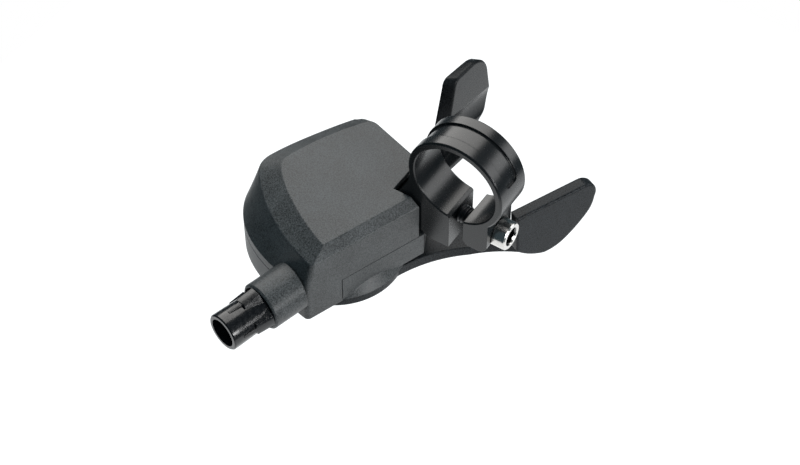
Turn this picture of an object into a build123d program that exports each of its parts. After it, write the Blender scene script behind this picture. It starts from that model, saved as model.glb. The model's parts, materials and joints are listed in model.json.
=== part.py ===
from build123d import *
from dataclasses import dataclass, replace
from math import cos, radians, sin
import os

os.makedirs("parts", exist_ok=True)

# Frame: origin at the middle of the handlebar bore, X along the bar towards its end, Y forward, Z up.

# Clamp band and its bracket
BAR_R = 11.15
BAND_R = 13.0
BAND_W = 11.2
CHANNEL_W = 4.9
CHANNEL_DEPTH = 0.3 * (BAND_R - BAR_R)
GAP_REAR = -2.8
GAP_FRONT = 1.1
EAR_Y = -9.6
EAR_Z = -18.3
BLOCK_Y = 16.2
BLOCK_Z = -22.2
ARM_TOP_Z = -11.6
BOLT_Z = -14.8
BOLT_R = 2.0
BOLT_HEAD_R = 3.7
BOLT_HEAD = 4.0
BOLT_LONG = 11.0
KEY_R = 2.05
SPOT = 0.4
RIM_EDGE = 0.21 * (BAND_R - BAR_R)
BORE_EDGE = 0.135 * (BAND_R - BAR_R)

# Axle of the levers and the drum
AXLE = (-13.5, 29.5)
AXLE_R = 3.0
RUN = 0.06

# Case: two covers turned about the vertical, with a flat top, a gentle bevel and a steep flank
CASE_TURN = -20.2
WALL = 1.8
TOP_Z = -10.0
BEVEL_Z = -12.3
FLANK_Z = -20.6
SEAM_Z = -23.1
SEAM = 0.2
FLOOR_Z = -31.0
FLOOR = 1.6
SEAM_END = -32.2
CORNER_END = 18.2
NOTCH_GAP = 0.5
EDGE_R = 0.6
PROW_R = 1.3
STERN_R = 1.6
BROW_R = 0.4

# Stack on the axle, from the top down
PLATE_Z = -15.2
PLATE_T = 1.6
DRUM_Z = -17.2
RATCHET_Z = -24.2
RATCHET_T = 1.4
PIVOT_R = 13.4
TIP_R = PIVOT_R - 3.2
DRUM_R = PIVOT_R - 4.4
TOOTH = 0.9
TEETH = 24
PAWL_SPAN = 34.0
PIN_R = 1.1
CARRIER_Z = -25.95
CARRIER_T = 1.05
RELEASE_Z = -27.3
RELEASE_T = 1.6
HUB_Z = -31.5
HUB_T = 2.9
HUB_R = 17.9
BELLY = 3.0
TUBE_R = 5.5
WIND_ANGLE = 60.0
HOLD_ANGLE = 150.0
STOP_ANGLE = 210.0
STOP_SWING = 9.0
RELEASE_PULL = 8.0

# Barrel adjuster, tangent to the drum
BARREL_Z = -22.6
BARREL_TURN = -14.5
BOSS_R = 6.2
BOSS_END = 31.2
FIN_HALF = 1.6
FIN_TURN = 7
BOSS_BORE = 5.4
BOSS_DEPTH = 9.5
BARREL_R = 4.85
BARREL_END = 42.6
MOUTH_R = 3.75
FINS = 4

# Paddles
PADDLE_TURN = -25.4
PADDLE_TOP = -15.0
PADDLE_T = 3.6
PADDLE_LONG = 23.6
TRIGGER_Y = 20.0
TRIGGER_T = 3.0


def around(radius, degrees):
    """Gives the point at this radius and direction from the axle."""
    return (AXLE[0] + radius * cos(radians(degrees)), AXLE[1] + radius * sin(radians(degrees)))


def turned(point, centre, degrees):
    """Turns a point in plan about a centre."""
    dx, dy = point[0] - centre[0], point[1] - centre[1]
    c, s = cos(radians(degrees)), sin(radians(degrees))
    return (centre[0] + c * dx - s * dy, centre[1] + s * dx + c * dy)


def level(z):
    """Gives the plan plane at this height."""
    return Plane(origin=(0, 0, z))


def case_level(z):
    """Gives the plan plane at this height, turned with the case."""
    return Plane(origin=(0, 0, z), x_dir=(cos(radians(CASE_TURN)), sin(radians(CASE_TURN)), 0), z_dir=(0, 0, 1))


@dataclass
class Contour:
    """One outline of the case in its own turned plan."""

    front: float
    left: float
    lean: float
    left_mid: tuple
    left_end: tuple
    back_end: tuple
    back_mid: tuple
    back_right: tuple
    right: float = -0.4
    cut: float = 0.0


TOP_LINE = Contour(8.9, -35.5, 0.0, (-33.8, 23.4), (-29.74, 34.93), (-25.45, 37.8), (-15.0, 37.6), (-1.8, 35.3))
BEVEL_LINE = Contour(6.6, -40.5, 0.1, (-39.6, 23.0), (-33.9, 39.0), (-27.9, 42.6), (-15.0, 41.8), (-1.9, 39.6))
FLANK_LINE = Contour(6.6, -42.6, 0.16, (-44.4, 22.5), (-41.2, 35.8), (-25.0, 45.2), (-14.0, 44.6), (-1.9, 42.0))
CORNER_BACK = (-1, -0.03)
CORNER_LEFT = (-0.5, -0.87)


def case_section(line, z, inset):
    """Draws one outline of the case, moved in by the inset."""
    front_left = (line.left + inset, line.front + inset)
    front_right = (line.right - inset, line.front + inset)
    back_right = (line.back_right[0] - inset, line.back_right[1] - inset)
    back_mid = (line.back_mid[0], line.back_mid[1] - inset)
    back_end = (line.back_end[0], line.back_end[1] - inset)
    left_end = (line.left_end[0] - inset * CORNER_LEFT[1], line.left_end[1] + inset * CORNER_LEFT[0])
    left_mid = (line.left_mid[0] + inset, line.left_mid[1])
    with BuildSketch(case_level(z)) as section:
        with BuildLine():
            Line(front_left, front_right)
            Line(front_right, back_right)
            Spline(back_right, back_mid, back_end, tangents=[(-0.97, 0.24), CORNER_BACK])
            Spline(back_end, left_end, tangents=[CORNER_BACK, CORNER_LEFT])
            Spline(left_end, left_mid, front_left, tangents=[CORNER_LEFT, (line.lean, -1)])
        make_face()
        if line.cut:
            chamfer(section.vertices().sort_by_distance((*front_right, 0))[0], line.cut - 0.6 * inset)
    return section.sketch


def case_form(inset, bottom):
    """Builds the case as a solid, moved in by the inset, down to a flat bottom."""
    top = case_section(TOP_LINE, TOP_Z - inset, inset)
    bevel = case_section(BEVEL_LINE, BEVEL_Z - 0.75 * inset, inset)
    flank = case_section(FLANK_LINE, FLANK_Z - 0.3 * inset, inset)
    with BuildPart() as form:
        loft([bevel, top], ruled=True)
        loft([flank, bevel], ruled=True)
        extrude(flank, amount=-(FLANK_Z - 0.3 * inset - bottom), dir=(0, 0, 1))
    return form.part


def barrel_plane(along):
    """Gives the plane across the barrel at this distance from the drum, facing out of the case."""
    c, s = cos(radians(BARREL_TURN)), sin(radians(BARREL_TURN))
    foot = (AXLE[0] + DRUM_R * s, AXLE[1] - DRUM_R * c)
    return Plane(origin=(foot[0] - along * c, foot[1] - along * s, BARREL_Z), x_dir=(0, 0, 1), z_dir=(-c, -s, 0))


POSTS = [(-6.4, 36.6), (-29.5, 39.4), (-16.5, 10.7)]
POST_R = 2.2
SCREW_R = 0.9
HOLD_PIN = around(PIVOT_R, HOLD_ANGLE - PAWL_SPAN)
STOP_PIN = around(PIVOT_R, STOP_ANGLE - PAWL_SPAN)
WIND_PIN = around(PIVOT_R, WIND_ANGLE - PAWL_SPAN)
FOOT = [(0.4, 18.9), (0.4, 22.7)]
STUD_MESH = around(PIVOT_R - 1.4, STOP_ANGLE - PAWL_SPAN + 13)
STUD = turned(STUD_MESH, STOP_PIN, -STOP_SWING)
STUD_END = turned(STUD_MESH, AXLE, RELEASE_PULL)


# Handlebar clamp: band, ear, bracket block and foot
with BuildPart() as clamp:
    with BuildSketch(Plane.YZ.offset(-BAND_W / 2)) as side:
        Circle(BAND_R)
        with BuildLine():
            l1 = Line((GAP_FRONT, -6), (GAP_FRONT, BLOCK_Z))
            l2 = Line(l1 @ 1, (BLOCK_Y - 9.6, BLOCK_Z))
            l3 = Line(l2 @ 1, (BLOCK_Y - 7.0, BLOCK_Z + 1.4))
            l4 = Line(l3 @ 1, (BLOCK_Y, BLOCK_Z + 1.4))
            l5 = Line(l4 @ 1, (BLOCK_Y, ARM_TOP_Z))
            l6 = ThreePointArc(l5 @ 1, (14.0, -8.6), (12.7, -3.2))
            l7 = Line(l6 @ 1, (6, 0))
            Line(l7 @ 1, l1 @ 0)
        make_face()
        with BuildLine():
            e1 = Line((GAP_REAR, -6), (GAP_REAR, EAR_Z + 1.2))
            e2 = Line(e1 @ 1, (GAP_REAR - 1.4, EAR_Z))
            e3 = Line(e2 @ 1, (EAR_Y + 2.6, EAR_Z))
            e4 = RadiusArc(e3 @ 1, (EAR_Y, EAR_Z + 2.6), 2.6)
            e5 = Line(e4 @ 1, (EAR_Y, -8.4))
            e6 = Line(e5 @ 1, (-6, -6))
            Line(e6 @ 1, e1 @ 0)
        make_face()
        with Locations(((GAP_REAR + GAP_FRONT) / 2, -16)):
            Rectangle(GAP_FRONT - GAP_REAR, 20, mode=Mode.SUBTRACT)
        Circle(BAR_R, mode=Mode.SUBTRACT)
    extrude(amount=BAND_W)
    # Channel round the band, with a rounded end above the ear
    with BuildSketch(Plane.YZ.offset(-CHANNEL_W / 2)) as channel:
        Circle(BAND_R + 3)
        Circle(BAND_R - CHANNEL_DEPTH, mode=Mode.SUBTRACT)
        with BuildLine():
            Polyline((0, 0), (-30, 8), (-30, 30), (30, 30), (30, 4), close=True)
        make_face(mode=Mode.INTERSECT)
    extrude(amount=CHANNEL_W, mode=Mode.SUBTRACT)
    ends = clamp.edges().filter_by(lambda e: abs(e.length - CHANNEL_DEPTH) < 0.05)
    fillet(ends.filter_by(lambda e: abs(abs(e.center().X) - CHANNEL_W / 2) < 0.01), CHANNEL_W / 3)
    rims = clamp.edges().filter_by(GeomType.CIRCLE)
    bore_rims = rims.filter_by(lambda e: abs(e.radius - BAR_R) < 0.01 and abs(abs(e.center().X) - BAND_W / 2) < 0.01)
    rims = rims.filter_by(lambda e: abs(e.radius - BAND_R) < 0.01 and abs(abs(e.center().X) - BAND_W / 2) < 0.01)
    chamfer(rims, RIM_EDGE)
    chamfer(bore_rims, BORE_EDGE)
    lips = clamp.edges().filter_by(Axis.X).sort_by_distance((0, GAP_FRONT, -BAR_R))
    chamfer(lips[0], 0.7)
    with BuildSketch(level(PLATE_Z - PLATE_T)) as foot:
        with Locations((0.4, (BLOCK_Y + 24.6) / 2 - 0.5)):
            Rectangle(5.2, 24.6 - BLOCK_Y + 1)
    extrude(amount=-3.6)
    with BuildSketch(level(PLATE_Z - PLATE_T)) as taps:
        with Locations(*FOOT):
            Circle(1.25)
    extrude(amount=-3.6, mode=Mode.SUBTRACT)
    with BuildSketch(Plane(origin=(0, EAR_Y, BOLT_Z), z_dir=(0, 1, 0))) as bolt_seat:
        Circle(BOLT_HEAD_R + 0.5)
    extrude(amount=SPOT, mode=Mode.SUBTRACT)
    with BuildSketch(Plane(origin=(0, EAR_Y, BOLT_Z), z_dir=(0, 1, 0))) as bolt_way:
        Circle(BOLT_R + 0.2)
    extrude(amount=GAP_REAR - EAR_Y + 0.5, mode=Mode.SUBTRACT)
    with BuildSketch(Plane(origin=(0, GAP_FRONT, BOLT_Z), z_dir=(0, 1, 0))) as bolt_tap:
        Circle(BOLT_R)
    extrude(amount=BOLT_LONG, mode=Mode.SUBTRACT)
clamp.part.label = "handlebar_clamp"
export_step(clamp.part, "parts/handlebar_clamp.step")

# Clamp bolt: socket head with a grooved thread
with BuildPart() as bolt:
    with BuildSketch(Plane(origin=(0, 0, BOLT_Z), x_dir=(1, 0, 0), z_dir=(0, 0, 1))) as profile:
        with BuildLine():
            tip = GAP_FRONT + BOLT_LONG - 1
            outline = [(0, tip), (BOLT_R - 0.5, tip), (BOLT_R, tip - 0.5), (BOLT_R, GAP_FRONT)]
            turns = 5
            pitch = (GAP_FRONT - GAP_REAR) / turns
            for i in range(turns):
                outline.append((BOLT_R - 0.35, GAP_FRONT - (i + 0.5) * pitch))
                outline.append((BOLT_R, GAP_FRONT - (i + 1) * pitch))
            seat = EAR_Y + SPOT
            outline += [(BOLT_R, seat), (BOLT_HEAD_R, seat), (BOLT_HEAD_R, seat - BOLT_HEAD + 0.3)]
            outline += [(BOLT_HEAD_R - 0.3, seat - BOLT_HEAD), (KEY_R + 0.5, seat - BOLT_HEAD)]
            outline += [(KEY_R - 0.1, seat - BOLT_HEAD + 0.6), (0, seat - BOLT_HEAD + 0.6)]
            Polyline(*outline, close=True)
        make_face()
    revolve(axis=Axis((0, 0, BOLT_Z), (0, 1, 0)))
    with BuildSketch(Plane(origin=(0, seat - BOLT_HEAD, BOLT_Z), z_dir=(0, 1, 0))) as key:
        RegularPolygon(KEY_R, 6, major_radius=False)
    extrude(amount=2.8, mode=Mode.SUBTRACT)
bolt.part.label = "clamp_bolt"
export_step(bolt.part, "parts/clamp_bolt.step")

# Upper cover: top shell with the front left corner and the barrel boss, its outer edges softened
with BuildPart() as outer_form:
    add(case_form(0, FLOOR_Z))
    slopes = outer_form.edges().filter_by(lambda e: abs((e @ 0).Z - (e @ 1).Z) > 0.5)
    stern_foot = case_level(FLANK_Z).from_local_coords((*FLANK_LINE.back_right, 0))
    fillet(slopes.filter_by(lambda e: (e.center() - stern_foot).length < 12), STERN_R)
    slopes = outer_form.edges().filter_by(lambda e: abs((e @ 0).Z - (e @ 1).Z) > 0.5)
    prow_foot = case_level(FLANK_Z).from_local_coords((FLANK_LINE.left, FLANK_LINE.front, 0))
    fillet(slopes.filter_by(lambda e: (e.center() - prow_foot).length < 10), PROW_R)
    for brow_z in (TOP_Z, BEVEL_Z):
        flat = outer_form.edges().filter_by(lambda e: abs((e @ 0).Z - (e @ 1).Z) < 0.01)
        brow = flat.filter_by(lambda e: abs(e.center().Z - brow_z) < 0.05)
        fillet(brow, BROW_R)
outer = outer_form.part
inner = case_form(WALL, FLOOR_Z - 1)
with BuildPart() as boss_bar:
    with BuildSketch(barrel_plane(18)) as boss_ring:
        Circle(BOSS_R)
    extrude(amount=BOSS_END - 18)
    chamfer(boss_bar.faces().sort_by(Axis.X)[0].edges(), 0.4)
with BuildPart() as boss_half:
    with BuildSketch(case_level(BARREL_Z)) as half:
        with Locations((FLANK_LINE.left - 20.2, 12)):
            Rectangle(40, 40)
    extrude(amount=10, both=True)
with BuildPart() as low_half:
    with BuildSketch(case_level(SEAM_Z)) as low:
        with Locations(((SEAM_END + 20) / 2, 30)):
            Rectangle(20 - SEAM_END, 70)
        with Locations((-20, CORNER_END + 25)):
            Rectangle(80, 50)
    extrude(amount=FLOOR_Z - SEAM_Z - 2)
with BuildPart() as notch:
    with BuildSketch(level(TOP_Z + 1)) as notch_plan:
        with Locations((-BAND_W / 2 - NOTCH_GAP + 20, BLOCK_Y + NOTCH_GAP - 20)):
            Rectangle(40, 40)
    extrude(amount=FLOOR_Z - TOP_Z)
with BuildPart() as posts:
    with BuildSketch(case_level(TOP_Z)) as post_plan:
        with Locations(*POSTS):
            Circle(POST_R)
    extrude(amount=FLOOR_Z + FLOOR - TOP_Z)
    with BuildSketch(case_level(FLOOR_Z + FLOOR)) as post_holes:
        with Locations(*POSTS):
            Circle(SCREW_R)
    extrude(amount=8, mode=Mode.SUBTRACT)
with BuildPart() as upper:
    add(outer)
    add(inner, mode=Mode.SUBTRACT)
    add(low_half.part, mode=Mode.SUBTRACT)
    add(posts.part & outer)
    add(boss_bar.part & boss_half.part)
    add(boss_bar.part & outer)
    add(notch.part, mode=Mode.SUBTRACT)
    with BuildSketch(barrel_plane(BOSS_END)) as bore:
        Circle(BOSS_BORE)
    extrude(amount=-BOSS_DEPTH, mode=Mode.SUBTRACT)
    with BuildSketch(barrel_plane(BOSS_END)) as tap:
        Circle(3.0 + RUN)
    extrude(amount=-18, mode=Mode.SUBTRACT)
upper.part.label = "upper_cover"
export_step(upper.part, "parts/upper_cover.step")

# Lower cover: pan with a floor, cut back at the corner that belongs to the upper cover
PAN_LINE = replace(FLANK_LINE, cut=7.0)
RIM_Z = SEAM_Z - SEAM
with BuildPart() as lower:
    extrude(case_section(PAN_LINE, FLOOR_Z, 0), amount=RIM_Z - FLOOR_Z)
    chamfer(lower.faces().sort_by(Axis.Z)[0].edges(), 0.6)
    # Belly that follows the hub of the thumb lever where it reaches past the front wall
    with Locations((*AXLE, FLOOR_Z + BELLY / 2)):
        Cone(HUB_R + 0.7, HUB_R - 1.7, BELLY)
    with BuildSketch(case_level(FLOOR_Z)) as corner:
        with Locations((SEAM_END + SEAM - 20, CORNER_END + SEAM - 20)):
            Rectangle(40, 40)
    extrude(amount=12, mode=Mode.SUBTRACT)
    extrude(case_section(PAN_LINE, FLOOR_Z, WALL + SEAM), amount=FLOOR)
    extrude(case_section(PAN_LINE, FLOOR_Z + FLOOR, WALL), amount=12, mode=Mode.SUBTRACT)
    with BuildSketch(level(FLOOR_Z)) as lever_hole:
        with Locations(AXLE):
            Circle(TUBE_R + 0.5)
        with Locations(around(8.2, 100)):
            Circle(0.5)
    extrude(amount=FLOOR, mode=Mode.SUBTRACT)
    with BuildSketch(case_level(FLOOR_Z)) as screw_holes:
        with Locations(*POSTS):
            Circle(SCREW_R + 0.2)
    extrude(amount=FLOOR, mode=Mode.SUBTRACT)
    with BuildSketch(case_level(FLOOR_Z)) as screw_seats:
        with Locations(*POSTS):
            Circle(2.0)
    extrude(amount=0.9, mode=Mode.SUBTRACT)
    with BuildSketch(case_level(RELEASE_Z + 0.4)) as lever_slot:
        with Locations((-1, 22.6)):
            Rectangle(8, 18)
    extrude(amount=-RELEASE_T - 0.8, mode=Mode.SUBTRACT)
lower.part.label = "lower_cover"
export_step(lower.part, "parts/lower_cover.step")

# Cover screws, one node
with BuildPart() as cover_screws:
    with BuildSketch(case_level(FLOOR_Z + 0.9)) as screw_plan:
        with Locations(*POSTS):
            Circle(SCREW_R)
    extrude(amount=7)
    with BuildSketch(case_level(FLOOR_Z + 0.9)) as heads:
        with Locations(*POSTS):
            Circle(1.8)
    extrude(amount=-1.0)
    with BuildSketch(case_level(FLOOR_Z - 0.1)) as crosses:
        with Locations(*POSTS):
            Rectangle(2.4, 0.6)
            Rectangle(0.6, 2.4)
    extrude(amount=0.6, mode=Mode.SUBTRACT)
cover_screws.part.label = "cover_screws"
export_step(cover_screws.part, "parts/cover_screws.step")

# Base plate: steel plate under the roof that carries the axle and the pawl pins
with BuildPart() as base:
    with BuildSketch(level(PLATE_Z)) as plate:
        with Locations(AXLE):
            Circle(7.5)
        for pin in (HOLD_PIN, STOP_PIN):
            with BuildLine():
                reach = Line(AXLE, pin)
                offset(amount=1.9, side=Side.BOTH)
            make_face()
        with BuildLine():
            Polyline(around(7.5, 60), (3.0, 24.6), (3.0, 16.8), (-2.2, 16.8), around(7.5, -70), AXLE, close=True)
        make_face()
        with Locations(AXLE):
            Circle(AXLE_R, mode=Mode.SUBTRACT)
        with Locations(HOLD_PIN, STOP_PIN):
            Circle(PIN_R, mode=Mode.SUBTRACT)
        with Locations(*FOOT):
            Circle(1.45, mode=Mode.SUBTRACT)
    extrude(amount=-PLATE_T)
base.part.label = "base_plate"
export_step(base.part, "parts/base_plate.step")

# Bracket screws, one node
with BuildPart() as bracket_screws:
    with BuildSketch(level(PLATE_Z)) as bracket_heads:
        with Locations(*FOOT):
            Circle(1.75)
    extrude(amount=1.5)
    chamfer(bracket_screws.faces().sort_by(Axis.Z)[-2:].edges(), 0.3)
    with BuildSketch(level(PLATE_Z)) as bracket_shanks:
        with Locations(*FOOT):
            Circle(1.25)
    extrude(amount=-PLATE_T - 3.6)
    with BuildSketch(level(PLATE_Z + 1.5)) as bracket_keys:
        with Locations(*FOOT):
            RegularPolygon(1.0, 6, major_radius=False)
    extrude(amount=-0.9, mode=Mode.SUBTRACT)
bracket_screws.part.label = "bracket_screws"
export_step(bracket_screws.part, "parts/bracket_screws.step")

# Main axle, washer and nut
HUB_LOW = HUB_Z - HUB_T
with BuildPart() as axle:
    with Locations((*AXLE, PLATE_Z)):
        Cylinder(4.4, 1.2, align=(Align.CENTER, Align.CENTER, Align.MIN))
    chamfer(axle.faces().sort_by(Axis.Z)[-1].edges(), 0.5)
    with BuildSketch(level(PLATE_Z)) as shaft:
        with Locations(AXLE):
            Circle(AXLE_R)
    extrude(amount=HUB_LOW - 1.6 - PLATE_Z)
    chamfer(axle.faces().sort_by(Axis.Z)[0].edges(), 0.4)
axle.part.label = "main_axle"
export_step(axle.part, "parts/main_axle.step")

with BuildPart() as washer:
    with BuildSketch(level(HUB_LOW + 1.0)) as washer_plan:
        with Locations(AXLE):
            Circle(5.4)
            Circle(AXLE_R + 0.02, mode=Mode.SUBTRACT)
    extrude(amount=-0.6)
washer.part.label = "axle_washer"
export_step(washer.part, "parts/axle_washer.step")

with BuildPart() as nut:
    with BuildSketch(level(HUB_LOW + 0.4)) as nut_plan:
        with Locations(AXLE):
            RegularPolygon(4.0, 6, major_radius=False)
            Circle(AXLE_R, mode=Mode.SUBTRACT)
    extrude(amount=-2.2)
    chamfer(nut.faces().sort_by(Axis.Z)[0].outer_wire().edges(), 0.4)
nut.part.label = "axle_nut"
export_step(nut.part, "parts/axle_nut.step")

# Pins of the fixed pawls, one node
PAWL_TOP = RATCHET_Z - 0.05
PAWL_T = RATCHET_T - 0.1
with BuildPart() as pins:
    with BuildSketch(level(PLATE_Z)) as pin_ends:
        with Locations(HOLD_PIN, STOP_PIN):
            Circle(PIN_R)
    extrude(amount=PAWL_TOP - PAWL_T - 0.3 - PLATE_Z)
    with BuildSketch(level(PLATE_Z - PLATE_T)) as pin_necks:
        with Locations(HOLD_PIN, STOP_PIN):
            Circle(1.6)
    extrude(amount=PAWL_TOP + 0.05 - PLATE_Z + PLATE_T)
    with BuildSketch(level(PAWL_TOP - PAWL_T - 0.05)) as pin_heads:
        with Locations(HOLD_PIN, STOP_PIN):
            Circle(1.6)
    extrude(amount=-0.25)
pins.part.label = "pawl_pins"
export_step(pins.part, "parts/pawl_pins.step")


def pawl_plan(angle, swing):
    """Draws a pawl whose nose stands against the tooth face at this angle, swung out by this much."""
    root = TIP_R - TOOTH
    pitch = 360 / TEETH
    pin = around(PIVOT_R, angle - PAWL_SPAN)
    outline = [
        around(PIVOT_R + 1.7, angle - PAWL_SPAN),
        around(TIP_R + 2.9, angle - 14),
        around(TIP_R + 2.0, angle - 0.7),
        around(root + 0.2, angle - 0.7),
        around(root + TOOTH * 8 / pitch + 0.2, angle - 8),
        around(TIP_R + 0.35, angle - 10),
        around(PIVOT_R - 1.7, angle - PAWL_SPAN),
    ]
    with BuildSketch(level(PAWL_TOP)) as plan:
        with BuildLine():
            Polyline(*[turned(point, pin, -swing) for point in outline], close=True)
        make_face()
        with Locations(pin):
            Circle(2.1)
            Circle(PIN_R + RUN, mode=Mode.SUBTRACT)
    return plan.sketch


with BuildPart() as hold_pawl:
    extrude(pawl_plan(HOLD_ANGLE, 0), amount=-PAWL_T)
hold_pawl.part.label = "hold_pawl"
export_step(hold_pawl.part, "parts/hold_pawl.step")

with BuildPart() as wind_pawl:
    extrude(pawl_plan(WIND_ANGLE, 0), amount=-PAWL_T)
wind_pawl.part.label = "wind_pawl"
export_step(wind_pawl.part, "parts/wind_pawl.step")

# Stop pawl: swung out of the teeth, with a stud that runs in the cam slot of the release lever
with BuildPart() as stop_pawl:
    extrude(pawl_plan(STOP_ANGLE, STOP_SWING), amount=-PAWL_T)
    with BuildSketch(level(PAWL_TOP - PAWL_T)) as stud_plan:
        with Locations(STUD):
            Circle(0.8)
    extrude(amount=RELEASE_Z - RELEASE_T + 0.2 - PAWL_TOP + PAWL_T)
stop_pawl.part.label = "stop_pawl"
export_step(stop_pawl.part, "parts/stop_pawl.step")

# Cable drum with a groove for the inner cable, a pocket for its end and a recess for the spring
with BuildPart() as drum:
    with BuildSketch(level(DRUM_Z)) as drum_top:
        with Locations(AXLE):
            Circle(DRUM_R - 0.4)
    extrude(amount=RATCHET_Z - DRUM_Z)
    with BuildSketch(level(BARREL_Z + 1.6)) as drum_rim:
        with Locations(AXLE):
            Circle(DRUM_R + 0.8)
    extrude(amount=RATCHET_Z - BARREL_Z - 1.6)
    with BuildSketch(Plane(origin=(*AXLE, BARREL_Z), x_dir=(1, 0, 0), z_dir=(0, 1, 0))) as groove:
        Polygon((DRUM_R + 1, -1.1), (DRUM_R + 1, 1.1), (DRUM_R - 0.5, 0.5), (DRUM_R - 0.5, -0.5), align=None)
    revolve(axis=Axis((*AXLE, 0), (0, 0, 1)), mode=Mode.SUBTRACT)
    with BuildSketch(level(DRUM_Z)) as recess:
        with Locations(AXLE):
            Circle(DRUM_R - 1.4)
    extrude(amount=-3.4, mode=Mode.SUBTRACT)
    with BuildSketch(level(DRUM_Z)) as drum_bore:
        with Locations(AXLE):
            Circle(AXLE_R + RUN)
    extrude(amount=RATCHET_Z - DRUM_Z, mode=Mode.SUBTRACT)
    with BuildSketch(level(RATCHET_Z)) as pocket:
        with Locations(around(DRUM_R - 1.6, 20)):
            Circle(1.7)
    extrude(amount=3.2, mode=Mode.SUBTRACT)
drum.part.label = "cable_drum"
export_step(drum.part, "parts/cable_drum.step")

# Ratchet wheel under the drum
with BuildPart() as ratchet:
    with BuildSketch(level(RATCHET_Z)) as teeth:
        with BuildLine():
            points = []
            for i in range(TEETH):
                at = WIND_ANGLE + i * 360 / TEETH
                points += [around(TIP_R - TOOTH, at), around(TIP_R, at)]
            Polyline(*points, close=True)
        make_face()
        with Locations(AXLE):
            Circle(AXLE_R + RUN, mode=Mode.SUBTRACT)
    extrude(amount=-RATCHET_T)
ratchet.part.label = "ratchet_wheel"
export_step(ratchet.part, "parts/ratchet_wheel.step")

# Drum spring: flat spiral of half turns round the axle in the recess of the drum
SPIRAL_R = AXLE_R + 0.25
SPIRAL_PITCH = (DRUM_R - 2.45 - SPIRAL_R) / 3
with BuildPart() as drum_spring:
    with BuildSketch(Plane(origin=(*AXLE, DRUM_Z - 0.3))) as spiral:
        with BuildLine():
            for half in range(7):
                shift = SPIRAL_PITCH / 2 * (half % 2)
                CenterArc((shift, 0), SPIRAL_R + SPIRAL_PITCH / 2 * half, 180 * half, 180)
            offset(amount=0.2, side=Side.BOTH)
        make_face()
    extrude(amount=-2.7)
drum_spring.part.label = "drum_spring"
export_step(drum_spring.part, "parts/drum_spring.step")


# Hairpin spring of a pawl, bent round the pin, drawn once and set on each pin
HAIRPIN_R = 2.05
WIRE_R = 0.3
with BuildPart() as hairpin:
    with BuildLine() as hairpin_path:
        leg_in = Line((HAIRPIN_R, 4.6), (HAIRPIN_R, 0))
        bend = ThreePointArc(leg_in @ 1, (0, -HAIRPIN_R), (-HAIRPIN_R, 0))
        Line(bend @ 1, (-HAIRPIN_R, 4.6))
    with BuildSketch(Plane(origin=hairpin_path.line @ 0, z_dir=hairpin_path.line % 0)) as wire:
        Circle(WIRE_R)
    sweep(path=hairpin_path.line)


def pin_spring(pin, name, facing):
    """Saves a pawl spring set on a pin and turned to this direction."""
    spring = hairpin.part.moved(Location((*pin, PAWL_TOP + WIRE_R + 0.07), (0, 0, facing)))
    spring.label = name
    export_step(spring, "parts/" + name + ".step")


# Paddle of the thumb lever: scooped outline on a turned plane, its edges softened
PADDLE_DIR = (cos(radians(PADDLE_TURN)), sin(radians(PADDLE_TURN)), 0)
PADDLE_OUT = (-PADDLE_DIR[1], PADDLE_DIR[0], 0)
with BuildPart() as paddle:
    with BuildSketch(Plane(origin=(6.0, -11.3, PADDLE_TOP), x_dir=PADDLE_DIR, z_dir=PADDLE_OUT)) as face:
        deep = PADDLE_TOP - HUB_LOW
        with BuildLine():
            p1 = ThreePointArc((0.6, 12.8), (5.4, 16.6), (10.4, deep - 0.8))
            p2 = Spline(p1 @ 1, (16.0, 16.4), (21.2, 11.4), (PADDLE_LONG, 5.4), tangents=[(1, -0.06), (0.1, -1)])
            p3 = ThreePointArc(p2 @ 1, (PADDLE_LONG - 0.6, 1.4), (PADDLE_LONG - 3.4, -0.2))
            p4 = Line(p3 @ 1, (0.0, 0.6))
            Line(p4 @ 1, p1 @ 0)
        make_face()
    extrude(amount=PADDLE_T)
    sides = paddle.faces().sort_by(Axis((0, 0, 0), PADDLE_OUT))
    rear = sides[0].edges().sort_by(Axis.Z)[1:]
    front = sides[-1].edges().sort_by(Axis.Z)[1:]
    fillet(rear, EDGE_R)
    fillet(front, 2 * EDGE_R)

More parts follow.
